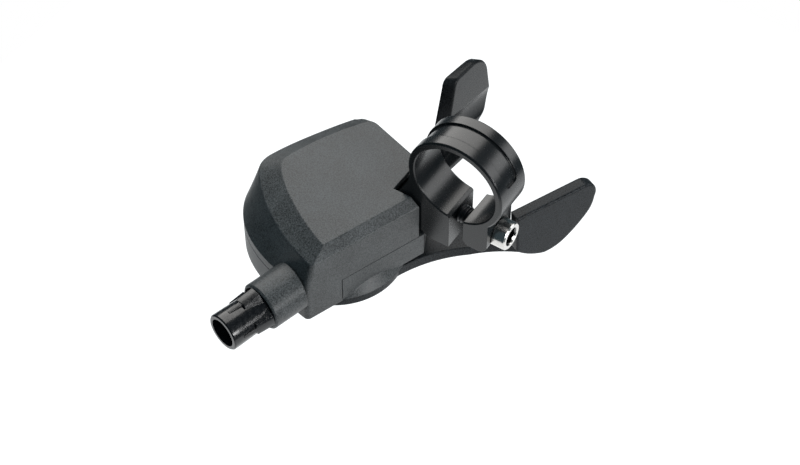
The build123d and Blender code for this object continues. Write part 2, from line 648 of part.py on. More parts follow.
# Thumb lever: hub dish, tube, arm and upright paddle in one piece
with BuildPart() as thumb:
    with BuildSketch(level(HUB_LOW)) as arm:
        with Locations(AXLE):
            Circle(HUB_R)
        with BuildLine():
            a1 = ThreePointArc(around(HUB_R - 1, 268), (-3.4, 7.4), (4.0, 0.6))
            a2 = ThreePointArc(a1 @ 1, (9.2, -5.4), (12.6, -11.6))
            a3 = Line(a2 @ 1, (16.4, -14.8))
            a4 = Line(a3 @ 1, (20.6, -13.8))
            a5 = ThreePointArc(a4 @ 1, (15.8, 1.0), (3.4, 20.6))
            a6 = Line(a5 @ 1, AXLE)
            Line(a6 @ 1, a1 @ 0)
        make_face()
    extrude(amount=HUB_T)
    hub_rim = thumb.faces().sort_by(Axis.Z)[0].edges().filter_by(GeomType.CIRCLE)
    chamfer(hub_rim.filter_by(lambda e: abs(e.radius - HUB_R) < 0.01), 0.4)
    add(paddle.part)
    with BuildSketch(level(HUB_Z)) as tube:
        with Locations(AXLE):
            Circle(TUBE_R)
    extrude(amount=CARRIER_Z - CARRIER_T - HUB_Z)
    with BuildSketch(level(CARRIER_Z - CARRIER_T)) as tube_key:
        with Locations(AXLE):
            RegularPolygon(4.4, 6, major_radius=False)
    extrude(amount=CARRIER_T)
    with BuildSketch(level(HUB_Z)) as spring_seat:
        with Locations(AXLE):
            Circle(9.4)
            Circle(TUBE_R + 1.4, mode=Mode.SUBTRACT)
    extrude(amount=-1.6, mode=Mode.SUBTRACT)
    with BuildSketch(level(HUB_LOW)) as nut_seat:
        with Locations(AXLE):
            Circle(6.0)
    extrude(amount=1.0, mode=Mode.SUBTRACT)
    with BuildSketch(level(HUB_LOW)) as hub_bore:
        with Locations(AXLE):
            Circle(AXLE_R + RUN)
    extrude(amount=CARRIER_Z - HUB_LOW, mode=Mode.SUBTRACT)
thumb.part.label = "thumb_lever"
export_step(thumb.part, "parts/thumb_lever.step")

# Pawl carrier keyed to the tube of the thumb lever, with the pin of the winding pawl
with BuildPart() as carrier:
    with BuildSketch(level(CARRIER_Z)) as carrier_plan:
        with Locations(AXLE):
            Circle(7.6)
        with BuildLine():
            Line(AXLE, WIND_PIN)
            offset(amount=2.2, side=Side.BOTH)
        make_face()
        with Locations(AXLE):
            RegularPolygon(4.4, 6, major_radius=False, mode=Mode.SUBTRACT)
        with Locations(WIND_PIN):
            Circle(PIN_R, mode=Mode.SUBTRACT)
    extrude(amount=-CARRIER_T)
carrier.part.label = "pawl_carrier"
export_step(carrier.part, "parts/pawl_carrier.step")

with BuildPart() as wind_pin:
    with BuildSketch(level(CARRIER_Z - CARRIER_T)) as wind_pin_plan:
        with Locations(WIND_PIN):
            Circle(PIN_R)
    extrude(amount=PAWL_TOP + 3.0 - CARRIER_Z + CARRIER_T)
wind_pin.part.label = "wind_pawl_pin"
export_step(wind_pin.part, "parts/wind_pawl_pin.step")

pin_spring(HOLD_PIN, "hold_pawl_spring", 135)
pin_spring(STOP_PIN, "stop_pawl_spring", 180)
pin_spring(WIND_PIN, "wind_pawl_spring", 45)

# Thumb lever spring: one open turn under the floor with a leg up into it
with BuildPart() as thumb_spring:
    with BuildLine(Plane(origin=(*AXLE, HUB_Z - 0.7))) as turn:
        CenterArc((0, 0), 8.2, 100, 320)
    with BuildSketch(Plane(origin=turn.line @ 0, z_dir=turn.line % 0)) as turn_section:
        Circle(0.5)
    sweep(path=turn.line)
    with BuildSketch(level(HUB_Z - 0.7)) as leg:
        with Locations(around(8.2, 100)):
            Circle(0.5)
    extrude(amount=FLOOR_Z + FLOOR - 0.3 - HUB_Z + 0.7)
thumb_spring.part.label = "thumb_spring"
export_step(thumb_spring.part, "parts/thumb_spring.step")

# Release lever: hub, arm through the slot of the lower cover and upright trigger with a hollow at its foot
TRIGGER_TOP = -2.8
TRIGGER_TIP = 45.1
RIM_R = 0.6
SCOOP = 1.0
SCOOP_R = 9.0
SCOOP_FALL = 0.23


def trigger_outline(y, foot_left, left, drop):
    """Draws the outline of the trigger at this depth, from its foot to its top, which drops to the rear."""
    low = TRIGGER_TOP - RELEASE_Z + RELEASE_T
    with BuildSketch(Plane(origin=(0, y, TRIGGER_TOP), x_dir=(1, 0, 0), z_dir=(0, 1, 0))) as outline:
        with BuildLine():
            t1 = Line((foot_left, low), (left, 2.4))
            t2 = ThreePointArc(t1 @ 1, (left + 0.7, 0.9), (left + 2.2, 0.2 + 0.4 * drop))
            t3 = Line(t2 @ 1, (36.0, 0.7 + 1.6 * drop))
            t4 = ThreePointArc(t3 @ 1, (41.0, 4.0 + 1.2 * drop), (43.4, 9.8))
            t5 = Line(t4 @ 1, (TRIGGER_TIP, 18.2))
            t6 = ThreePointArc(t5 @ 1, (44.6, 21.2), (42.2, 23.6))
            t7 = Line(t6 @ 1, (37.0, low))
            Line(t7 @ 1, t1 @ 0)
        make_face()
    return outline.sketch


with BuildPart() as release:
    with BuildSketch(level(RELEASE_Z)) as release_plan:
        with Locations(AXLE):
            Circle(8.6)
        with BuildLine():
            r1 = Line((-14.3, 20.95), (35.6, 16.07))
            r2 = ThreePointArc(r1 @ 1, (38.2, 18.2), (38.4, TRIGGER_Y + TRIGGER_T))
            r3 = Line(r2 @ 1, (21.0, TRIGGER_Y + TRIGGER_T))
            r4 = ThreePointArc(r3 @ 1, (8.0, 28.2), (-10.8, 37.6))
            r5 = Line(r4 @ 1, AXLE)
            Line(r5 @ 1, r1 @ 0)
        make_face()
        with BuildLine():
            Line(AXLE, ((STUD[0] + STUD_END[0]) / 2, (STUD[1] + STUD_END[1]) / 2))
            offset(amount=2.7, side=Side.BOTH)
        make_face()
        with Locations(AXLE):
            Circle(TUBE_R + RUN, mode=Mode.SUBTRACT)
    extrude(amount=-RELEASE_T)
    with BuildSketch(level(RELEASE_Z)) as cam:
        with BuildLine():
            Line(STUD, STUD_END)
            offset(amount=0.95, side=Side.BOTH)
        make_face()
    extrude(amount=-RELEASE_T, mode=Mode.SUBTRACT)
    loft(
        [trigger_outline(TRIGGER_Y, 22.0, 27.0, 0.0), trigger_outline(TRIGGER_Y + TRIGGER_T, 19.0, 25.6, 0.9)],
        ruled=True,
    )
    finger_face = release.faces().sort_by_distance((34, TRIGGER_Y, TRIGGER_TOP - 8))[0]
    fillet(finger_face.edges().filter_by(lambda e: e.center().Z > RELEASE_Z + 2), RIM_R)
    # Scoop across the lower part of the finger face, rising to the left
    scoop_dir = (1, 0, -SCOOP_FALL)
    scoop_at = (35.0, TRIGGER_Y + SCOOP - SCOOP_R, TRIGGER_TOP - 18.0)
    with BuildSketch(Plane(origin=scoop_at, z_dir=scoop_dir)) as scoop:
        Circle(SCOOP_R)
    extrude(amount=16, both=True, mode=Mode.SUBTRACT)
release.part.label = "release_lever"
export_step(release.part, "parts/release_lever.step")

# Barrel adjuster: finned barrel with a mouth for the cable housing and a threaded stem
BARREL_ROOT = BOSS_END - BOSS_DEPTH + 1.7
MIDDLE = barrel_plane(0)
with BuildPart() as fin_reach:
    with BuildSketch(Plane(origin=MIDDLE.origin, x_dir=MIDDLE.z_dir, z_dir=-MIDDLE.y_dir)) as reach:
        Polygon(
            (BARREL_ROOT + 1, 0),
            (BOSS_END + 8.8, 0),
            (BOSS_END + 8.6, BARREL_R + 0.05),
            (BOSS_END + 4.4, BARREL_R + 0.4),
            (BOSS_END + 0.8, BARREL_R + 0.65),
            (BOSS_END + 0.8, BOSS_BORE - 0.25),
            (BARREL_ROOT + 1, BOSS_BORE - 0.25),
            align=None,
        )
    revolve(axis=Axis(MIDDLE.origin, MIDDLE.z_dir))
with BuildPart() as fin_plans:
    for i in range(FINS):
        outward = MIDDLE.x_dir.rotate(Axis((0, 0, 0), MIDDLE.z_dir), 360 * i / FINS + FIN_TURN)
        with BuildSketch(Plane(origin=MIDDLE.origin, x_dir=MIDDLE.z_dir, z_dir=outward)) as fin_plan:
            Polygon(
                (BARREL_ROOT + 1, FIN_HALF),
                (BARREL_ROOT + 1, -FIN_HALF),
                (BOSS_END + 4.9, -FIN_HALF),
                (BOSS_END + 4.3, -0.5),
                (BOSS_END + 8.4, -0.3),
                (BOSS_END + 8.4, 0.3),
                (BOSS_END + 4.3, 0.5),
                (BOSS_END + 4.9, FIN_HALF),
                align=None,
            )
        extrude(amount=BOSS_R)
with BuildPart() as barrel:
    with BuildSketch(barrel_plane(BARREL_ROOT)) as barrel_root:
        Circle(BARREL_R - 0.45)
    with BuildSketch(barrel_plane(BARREL_END - 2.0)) as barrel_neck:
        Circle(BARREL_R)
    loft()
    with BuildSketch(barrel_plane(BARREL_END - 2.0)) as barrel_lip:
        Circle(BARREL_R)
    extrude(amount=2.0)
    chamfer(barrel.faces().sort_by(Axis.X)[0].edges(), 0.3)
    add(fin_reach.part & fin_plans.part)
    with BuildSketch(barrel_plane(BARREL_ROOT)) as stem_plan:
        Circle(3.0)
    extrude(amount=-8.0)
    with BuildSketch(barrel_plane(BARREL_END)) as mouth:
        Circle(MOUTH_R)
    extrude(amount=-12.0, mode=Mode.SUBTRACT)
    with BuildSketch(barrel_plane(BARREL_END)) as cable_way:
        Circle(1.2)
    extrude(amount=-40.0, mode=Mode.SUBTRACT)
barrel.part.label = "barrel_adjuster"
export_step(barrel.part, "parts/barrel_adjuster.step")

# Detent spring between the floor of the boss and the barrel, drawn upright and then set in the boss
with BuildPart() as detent:
    with BuildLine() as detent_path:
        Helix(pitch=0.7, height=1.05, radius=4.0)
    with BuildSketch(Plane(origin=detent_path.line @ 0, z_dir=detent_path.line % 0)) as detent_section:
        Circle(0.3)
    sweep(path=detent_path.line)
detent_set = detent.part.moved(barrel_plane(BOSS_END - BOSS_DEPTH + 0.31).location)
detent_set.label = "detent_spring"
export_step(detent_set, "parts/detent_spring.step")
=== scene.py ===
"""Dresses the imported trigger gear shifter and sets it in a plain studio.

Sizes whose names end in _mm, and those of the sub-assemblies, are in millimetres. The studio is in metres.
"""

from __future__ import annotations

import json
import logging
import math
from dataclasses import dataclass
from enum import Enum
from typing import Any

import bpy
from mathutils import Matrix, Vector

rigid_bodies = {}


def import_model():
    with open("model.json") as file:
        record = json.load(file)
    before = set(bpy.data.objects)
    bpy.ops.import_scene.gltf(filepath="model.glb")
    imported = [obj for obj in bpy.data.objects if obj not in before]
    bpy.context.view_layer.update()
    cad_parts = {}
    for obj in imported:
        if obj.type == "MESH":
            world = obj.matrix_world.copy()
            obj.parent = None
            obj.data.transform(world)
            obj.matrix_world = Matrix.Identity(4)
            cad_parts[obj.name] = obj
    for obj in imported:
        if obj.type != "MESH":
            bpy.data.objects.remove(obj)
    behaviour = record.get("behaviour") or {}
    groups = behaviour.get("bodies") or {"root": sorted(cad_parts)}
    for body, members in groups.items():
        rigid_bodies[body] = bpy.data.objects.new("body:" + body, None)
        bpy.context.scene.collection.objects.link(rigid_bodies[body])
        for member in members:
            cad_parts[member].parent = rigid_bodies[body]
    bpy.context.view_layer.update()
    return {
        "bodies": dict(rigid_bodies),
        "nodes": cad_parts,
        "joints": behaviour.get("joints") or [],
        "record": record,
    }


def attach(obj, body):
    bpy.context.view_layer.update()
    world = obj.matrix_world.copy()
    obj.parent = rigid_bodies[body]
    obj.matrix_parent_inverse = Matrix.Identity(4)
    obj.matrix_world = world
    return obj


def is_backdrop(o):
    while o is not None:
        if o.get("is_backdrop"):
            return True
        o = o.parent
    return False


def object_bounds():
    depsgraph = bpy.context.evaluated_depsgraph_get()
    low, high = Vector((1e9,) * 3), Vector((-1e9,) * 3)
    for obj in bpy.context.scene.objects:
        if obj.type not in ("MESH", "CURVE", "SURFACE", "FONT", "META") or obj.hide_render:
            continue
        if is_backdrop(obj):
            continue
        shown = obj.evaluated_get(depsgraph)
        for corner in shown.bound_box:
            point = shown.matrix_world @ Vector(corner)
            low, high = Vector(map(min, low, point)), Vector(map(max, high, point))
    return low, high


LOG = logging.getLogger("shifter")
MM = 0.001

Frame = dict[str, Any]
Colour = tuple[float, float, float]
Point = tuple[float, float, float]
Pair = tuple[float, float]
Socket = bpy.types.NodeSocket

WHITE: Colour = (1.0, 1.0, 1.0)
UP: Point = (0.0, 0.0, 1.0)

# The noise of every finish: where nearly all its values fall, its finer octaves and their strength, and the share of
# the broad cloud in it.
NOISE_SPAN: Pair = (0.36, 0.64)
NOISE_DETAIL = 2.0
NOISE_ROUGH = 0.6
CLOUD_SHARE = 0.25

COAT_ROUGH = 0.08
EDGE_SAMPLES = 6


def rgba(colour: Colour) -> tuple[float, float, float, float]:
    """Gives a colour with full opacity."""
    return (*colour, 1.0)


def scaled(colour: Colour, by: float) -> Colour:
    """Gives a colour made lighter or darker by a factor."""
    return (colour[0] * by, colour[1] * by, colour[2] * by)


class Wiring:
    """Adds nodes to one node tree and joins them."""

    def __init__(self, tree: bpy.types.NodeTree) -> None:
        """Keeps the tree that the nodes go to."""
        self.tree = tree

    def add(self, kind: str, **values: object) -> bpy.types.Node:
        """Adds one node and sets its properties and unlinked inputs.

        Args:
            kind: Blender's type name of the node.
            values: Property names, or input names with spaces as underscores.

        Returns:
            The new node.
        """
        node = self.tree.nodes.new(kind)
        for name, value in values.items():
            if hasattr(node, name):
                setattr(node, name, value)
            else:
                node.inputs[name.replace("_", " ")].default_value = value
        return node

    def join(self, source: Socket, target: Socket) -> None:
        """Links an output to an input."""
        self.tree.links.new(source, target)

    def reckon(self, operation: str, first: Socket, second: Socket | float) -> Socket:
        """Adds an operation on two numbers.

        Args:
            operation: Blender's name of the operation.
            first: The socket with the first number.
            second: The socket with the second number, or the number itself.

        Returns:
            The socket with the result.
        """
        node = self.add("ShaderNodeMath", operation=operation)
        self.join(first, node.inputs[0])
        if isinstance(second, float):
            node.inputs[1].default_value = second
        else:
            self.join(second, node.inputs[1])
        return node.outputs[0]

    def ramp(self, value: Socket, span: Pair, ends: tuple[Colour, Colour]) -> Socket:
        """Adds a run from one colour to another.

        Args:
            value: The socket that the run follows.
            span: The values at which it starts and ends.
            ends: The colours there.

        Returns:
            The socket with the colour.
        """
        node = self.add("ShaderNodeValToRGB")
        for stop, place, colour in zip(node.color_ramp.elements, span, ends):
            stop.position = place
            stop.color = rgba(colour)
        self.join(value, node.inputs["Fac"])
        return node.outputs["Color"]

    def close(self, geometry: Socket, material: bpy.types.Material) -> None:
        """Ends a Geometry Nodes tree with real meshes in one material.

        Args:
            geometry: The socket with what the tree has made.
            material: What it is finished in.
        """
        real = self.add("GeometryNodeRealizeInstances")
        finish = self.add("GeometryNodeSetMaterial", Material=material)
        self.join(geometry, real.inputs["Geometry"])
        self.join(real.outputs["Geometry"], finish.inputs["Geometry"])
        self.join(finish.outputs["Geometry"], self.add("NodeGroupOutput").inputs["Geometry"])


@dataclass(frozen=True)
class Finish:
    """A surface whose colour, gloss and grain vary over the piece.

    The grain is fine and even, the cloud is broad and faint, and both lie in the frame's own metres. Edges catch the
    light as if they were rounded by edge_mm.
    """

    name: str
    base: Colour
    rough: float
    metallic: float = 0.0
    grain_mm: float = 0.35
    depth_mm: float = 0.02
    tone: float = 0.25
    cloud_mm: float = 14.0
    rough_span: float = 0.08
    specular: float = 0.5
    coat: float = 0.0
    edge_mm: float = 0.12
    stretch: Point = (1.0, 1.0, 1.0)

    def build(self) -> bpy.types.Material:
        """Makes the material.

        Returns:
            A material with nodes, ready for a slot.
        """
        material = bpy.data.materials.new(self.name)
        material.use_nodes = True
        wiring = Wiring(material.node_tree)
        shader = material.node_tree.nodes["Principled BSDF"]
        shader.inputs["Metallic"].default_value = self.metallic
        shader.inputs["Specular IOR Level"].default_value = self.specular
        shader.inputs["Coat Weight"].default_value = self.coat
        shader.inputs["Coat Roughness"].default_value = COAT_ROUGH
        grain = self._noise(wiring, self.grain_mm)
        cloud = self._noise(wiring, self.cloud_mm)
        mixed = wiring.add("ShaderNodeMix", data_type="FLOAT")
        mixed.inputs["Factor"].default_value = CLOUD_SHARE
        wiring.join(grain, mixed.inputs["A"])
        wiring.join(cloud, mixed.inputs["B"])
        self._colour(wiring, mixed.outputs["Result"], shader)
        self._gloss(wiring, mixed.outputs["Result"], shader)
        self._grain(wiring, grain, shader)
        return material

    def _noise(self, wiring: Wiring, size_mm: float) -> Socket:
        """Adds a noise of the given size in object coordinates.

        Args:
            wiring: Where the nodes go.
            size_mm: Size of one grain.

        Returns:
            The socket with the noise's value.
        """
        place = wiring.add("ShaderNodeTexCoord")
        turn = wiring.add("ShaderNodeMapping")
        turn.inputs["Scale"].default_value = self.stretch
        noise = wiring.add(
            "ShaderNodeTexNoise", Scale=1.0 / (size_mm * MM), Detail=NOISE_DETAIL, Roughness=NOISE_ROUGH
        )
        wiring.join(place.outputs["Object"], turn.inputs["Vector"])
        wiring.join(turn.outputs["Vector"], noise.inputs["Vector"])
        return noise.outputs["Fac"]

    def _colour(self, wiring: Wiring, value: Socket, shader: bpy.types.Node) -> None:
        """Runs the base colour from a darker to a lighter tone with the noise.

        Args:
            wiring: Where the nodes go.
            value: The socket with the noise.
            shader: What takes the colour.
        """
        ends = (scaled(self.base, 1.0 - self.tone), scaled(self.base, 1.0 + self.tone))
        wiring.join(wiring.ramp(value, NOISE_SPAN, ends), shader.inputs["Base Color"])

    def _gloss(self, wiring: Wiring, value: Socket, shader: bpy.types.Node) -> None:
        """Varies the roughness about its mean with the noise.

        Args:
            wiring: Where the nodes go.
            value: The socket with the noise.
            shader: What takes the roughness.
        """
        span = wiring.add("ShaderNodeMapRange")
        span.inputs["From Min"].default_value = NOISE_SPAN[0]
        span.inputs["From Max"].default_value = NOISE_SPAN[1]
        span.inputs["To Min"].default_value = self.rough - self.rough_span
        span.inputs["To Max"].default_value = self.rough + self.rough_span
        wiring.join(value, span.inputs["Value"])
        wiring.join(span.outputs["Result"], shader.inputs["Roughness"])

    def _grain(self, wiring: Wiring, value: Socket, shader: bpy.types.Node) -> None:
        """Raises the grain as a bump over softened edges.

        Args:
            wiring: Where the nodes go.
            value: The socket with the noise.
            shader: What takes the normals.
        """
        edge = wiring.add("ShaderNodeBevel", samples=EDGE_SAMPLES, Radius=self.edge_mm * MM)
        bump = wiring.add("ShaderNodeBump", Strength=1.0, Distance=self.depth_mm * MM)
        wiring.join(edge.outputs["Normal"], bump.inputs["Normal"])
        wiring.join(value, bump.inputs["Height"])
        wiring.join(bump.outputs["Normal"], shader.inputs["Normal"])
        wiring.join(edge.outputs["Normal"], shader.inputs["Coat Normal"])


@dataclass(frozen=True)
class FinishWithPaintedSocketShade(Finish):
    """A finish with painted shade inside a key socket along Y: its colour is darkened there to stand for the shade in
    the hollow.

    The socket's axis is at socket_at, in X and Z, and its colour goes over into the outer one within socket_rim_mm.
    """

    socket_at: Pair = (0.0, 0.0)
    socket_mm: float = 2.0
    socket_rim_mm: float = 0.1
    socket_painted_shade: float = 0.2

    def _colour(self, wiring: Wiring, value: Socket, shader: bpy.types.Node) -> None:
        """Paints shade into the colour close to the socket's axis.

        Args:
            wiring: Where the nodes go.
            value: The socket with the noise.
            shader: What takes the colour.
        """
        super()._colour(wiring, value, shader)
        outer = shader.inputs["Base Color"].links[0].from_socket
        mixed = wiring.add("ShaderNodeMix", data_type="RGBA")
        painted_shade_colour, unshaded_colour = (entry for entry in mixed.inputs if entry.type == "RGBA")
        # Painted shade: the colour in the socket is darkened to stand for the shade in the hollow.
        painted_shade_colour.default_value = rgba(scaled(self.base, self.socket_painted_shade))
        wiring.join(self._outside(wiring), mixed.inputs["Factor"])
        wiring.join(outer, unshaded_colour)
        result = next(entry for entry in mixed.outputs if entry.type == "RGBA")
        wiring.join(result, shader.inputs["Base Color"])

    def _outside(self, wiring: Wiring) -> Socket:
        """Adds the mask of the painted shade, which is 0 in the key socket and 1 round it.

        Args:
            wiring: Where the nodes go.

        Returns:
            The socket of the switch.
        """
        place = wiring.add("ShaderNodeTexCoord")
        middle = wiring.add("ShaderNodeCombineXYZ", X=self.socket_at[0] * MM, Z=self.socket_at[1] * MM)
        flat = wiring.add("ShaderNodeVectorMath", operation="MULTIPLY")
        flat.inputs[1].default_value = (1.0, 0.0, 1.0)
        reach = wiring.add("ShaderNodeVectorMath", operation="DISTANCE")
        shade = wiring.add("ShaderNodeMapRange")
        shade.inputs["From Min"].default_value = self.socket_mm * MM
        shade.inputs["From Max"].default_value = (self.socket_mm + self.socket_rim_mm) * MM
        wiring.join(place.outputs["Object"], flat.inputs[0])
        wiring.join(flat.outputs["Vector"], reach.inputs[0])
        wiring.join(middle.outputs["Vector"], reach.inputs[1])
        wiring.join(reach.outputs["Value"], shade.inputs["Value"])
        return shade.outputs["Result"]


class Slot(Enum):
    """The record's material slots, each with its finish."""

    CLAMP_ALLOY = Finish(
        "satin_black_anodised", (0.007, 0.0075, 0.0082), 0.26, grain_mm=0.3, depth_mm=0.001, tone=0.12,
        rough_span=0.015, edge_mm=0.25,
    )
    # The bolt's key socket carries painted shade.
    BOLT_STEEL = FinishWithPaintedSocketShade(
        "bright_plated_bolt", (0.66, 0.645, 0.62), 0.22, metallic=1.0, grain_mm=0.12, depth_mm=0.001, tone=0.06,
        rough_span=0.04, edge_mm=0.15, socket_at=(0.0, -14.8), socket_mm=2.35, socket_painted_shade=0.18,
    )
    CASE_PLASTIC = Finish(
        "textured_case_plastic", (0.0562, 0.0558, 0.0555), 0.42, grain_mm=0.32, depth_mm=0.03, tone=0.75,
        rough_span=0.1, specular=0.32, edge_mm=0.3,
    )
    LEVER_PLASTIC = Finish(
        "satin_lever_plastic", (0.016, 0.017, 0.0185), 0.3, grain_mm=0.34, depth_mm=0.02, tone=0.7,
        specular=0.12, edge_mm=0.6,
    )
    LEVER_ALLOY = Finish(
        "satin_lever_paint", (0.009, 0.0095, 0.0102), 0.32, grain_mm=0.34, depth_mm=0.015, tone=0.6,
        specular=0.14, edge_mm=0.6,
    )
    BARREL_PLASTIC = Finish(
        "gloss_barrel_plastic", (0.006, 0.006, 0.007), 0.24, grain_mm=0.8, depth_mm=0.001, specular=0.4, coat=0.2,
        edge_mm=0.06,
    )
    PLATE_STEEL = Finish(
        "zinc_plate_steel", (0.5, 0.5, 0.49), 0.34, metallic=1.0, grain_mm=0.5, depth_mm=0.003, tone=0.1,
        stretch=(1.0, 12.0, 1.0),
    )
    PAWL_STEEL = Finish(
        "ground_pawl_steel", (0.36, 0.36, 0.37), 0.3, metallic=1.0, grain_mm=0.4, depth_mm=0.003, tone=0.12,
        stretch=(10.0, 1.0, 1.0),
    )
    SPRING_STEEL = Finish(
        "drawn_spring_wire", (0.45, 0.44, 0.42), 0.28, metallic=1.0, grain_mm=0.2, depth_mm=0.002, tone=0.12
    )
    DRUM_PLASTIC = Finish("natural_drum_acetal", (0.58, 0.58, 0.55), 0.42, grain_mm=0.6, depth_mm=0.004, tone=0.05)
    # This finish also gives the bolt's thread in the gap its painted shade.
    DARK_SCREW = Finish("black_oxide_screw_and_thread_shade", (0.024, 0.024, 0.026), 0.36, metallic=0.6, grain_mm=0.2, depth_mm=0.004)

    @classmethod
    def named(cls, slot: str) -> Slot:
        """Gives the slot with the record's name."""
        return cls[slot.upper()]


class Paints:
    """Makes each finish once and lays it on pieces."""

    def __init__(self) -> None:
        """Starts with no finish made."""
        self.made: dict[Slot, bpy.types.Material] = {}

    def material(self, slot: Slot) -> bpy.types.Material:
        """Gives the material of a slot, making it the first time.

        Args:
            slot: The slot.

        Returns:
            Its material.
        """
        if slot not in self.made:
            self.made[slot] = slot.value.build()
        return self.made[slot]

    def lay(self, piece: bpy.types.Object, slot: Slot) -> None:
        """Lays a finish on a piece in place of what it has."""
        piece.data.materials.clear()
        piece.data.materials.append(self.material(slot))


def grown(
    name: str, seed: bpy.types.Mesh, tree: bpy.types.NodeTree, values: dict[str, float], place: Matrix
) -> bpy.types.Object:
    """Runs a Geometry Nodes tree on a mesh and keeps the result as a plain mesh.

    Args:
        name: Name of the piece.
        seed: The mesh that the tree starts from.
        tree: The tree.
        values: A value for each socket identifier of the tree.
        place: Where the result goes, in metres.

    Returns:
        The piece, at the origin, with its place in its mesh.
    """
    carrier = bpy.data.objects.new(f"{name}_seed", seed)
    bpy.context.scene.collection.objects.link(carrier)
    modifier = carrier.modifiers.new("tree", "NODES")
    modifier.node_group = tree
    for socket, value in values.items():
        modifier[socket] = value
    bpy.context.view_layer.update()
    ready = carrier.evaluated_get(bpy.context.evaluated_depsgraph_get())
    mesh = bpy.data.meshes.new_from_object(ready)
    bpy.data.objects.remove(carrier)
    mesh.name = name
    mesh.transform(place)
    piece = bpy.data.objects.new(name, mesh)
    bpy.context.scene.collection.objects.link(piece)
    return piece


class ThreadTree:
    """A Geometry Nodes tree that winds a screw thread round a core."""

    SIZES = ("Core Radius", "Crest Radius", "Pitch", "Length")
    CORE_SIDES = 48
    TURN_STEPS = 32
    RIDGE_SIDES = 4

    def __init__(self, material: bpy.types.Material) -> None:
        """Builds the tree.

        Args:
            material: What the thread is finished in.
        """
        self.tree = bpy.data.node_groups.new("screw_thread", "GeometryNodeTree")
        self.tree.interface.new_socket("Geometry", in_out="OUTPUT", socket_type="NodeSocketGeometry")
        self.sockets = {
            name: self.tree.interface.new_socket(name, in_out="INPUT", socket_type="NodeSocketFloat").identifier
            for name in self.SIZES
        }
        self.wiring = Wiring(self.tree)
        self.given = self.wiring.add("NodeGroupInput")
        both = self.wiring.add("GeometryNodeJoinGeometry")
        self.wiring.join(self._core(), both.inputs["Geometry"])
        self.wiring.join(self._ridge(), both.inputs["Geometry"])
        flat = self.wiring.add("GeometryNodeSetShadeSmooth", Shade_Smooth=False)
        self.wiring.join(both.outputs["Geometry"], flat.inputs["Geometry"])
        self.wiring.close(flat.outputs["Geometry"], material)

    def _core(self) -> Socket:
        """Adds the plain core, standing on the origin.

        Returns:
            The socket with the core's mesh.
        """
        core = self.wiring.add("GeometryNodeMeshCylinder", Vertices=self.CORE_SIDES)
        self.wiring.join(self.given.outputs["Core Radius"], core.inputs["Radius"])
        self.wiring.join(self.given.outputs["Length"], core.inputs["Depth"])
        rise = self.wiring.add("ShaderNodeCombineXYZ")
        self.wiring.join(self.wiring.reckon("MULTIPLY", self.given.outputs["Length"], 0.5), rise.inputs["Z"])
        lifted = self.wiring.add("GeometryNodeTransform")
        self.wiring.join(core.outputs["Mesh"], lifted.inputs["Geometry"])
        self.wiring.join(rise.outputs["Vector"], lifted.inputs["Translation"])
        return lifted.outputs["Geometry"]

    def _ridge(self) -> Socket:
        """Adds the ridge, a diamond swept along a helix on the core.

        Returns:
            The socket with the ridge's mesh.
        """
        core, crest, pitch, length = (self.given.outputs[name] for name in self.SIZES)
        helix = self.wiring.add("GeometryNodeCurveSpiral", Resolution=self.TURN_STEPS)
        self.wiring.join(core, helix.inputs["Start Radius"])
        self.wiring.join(core, helix.inputs["End Radius"])
        self.wiring.join(length, helix.inputs["Height"])
        self.wiring.join(self.wiring.reckon("DIVIDE", length, pitch), helix.inputs["Rotations"])
        upright = self.wiring.add("GeometryNodeSetCurveNormal", mode="Z_UP")
        self.wiring.join(helix.outputs["Curve"], upright.inputs["Curve"])
        diamond = self.wiring.add("GeometryNodeCurvePrimitiveCircle", Resolution=self.RIDGE_SIDES)
        self.wiring.join(self.wiring.reckon("SUBTRACT", crest, core), diamond.inputs["Radius"])
        sweep = self.wiring.add("GeometryNodeCurveToMesh", Fill_Caps=True)
        self.wiring.join(upright.outputs["Curve"], sweep.inputs["Curve"])
        self.wiring.join(diamond.outputs["Curve"], sweep.inputs["Profile Curve"])
        return sweep.outputs["Mesh"]

    def wind(self, name: str, sizes_mm: dict[str, float], place: Matrix) -> bpy.types.Object:
        """Makes one thread of the given sizes, with its foot at a place in metres and its own Z along the screw."""
        values = {self.sockets[size]: value * MM for size, value in sizes_mm.items()}
        return grown(name, bpy.data.meshes.new(f"{name}_seed"), self.tree, values, place)


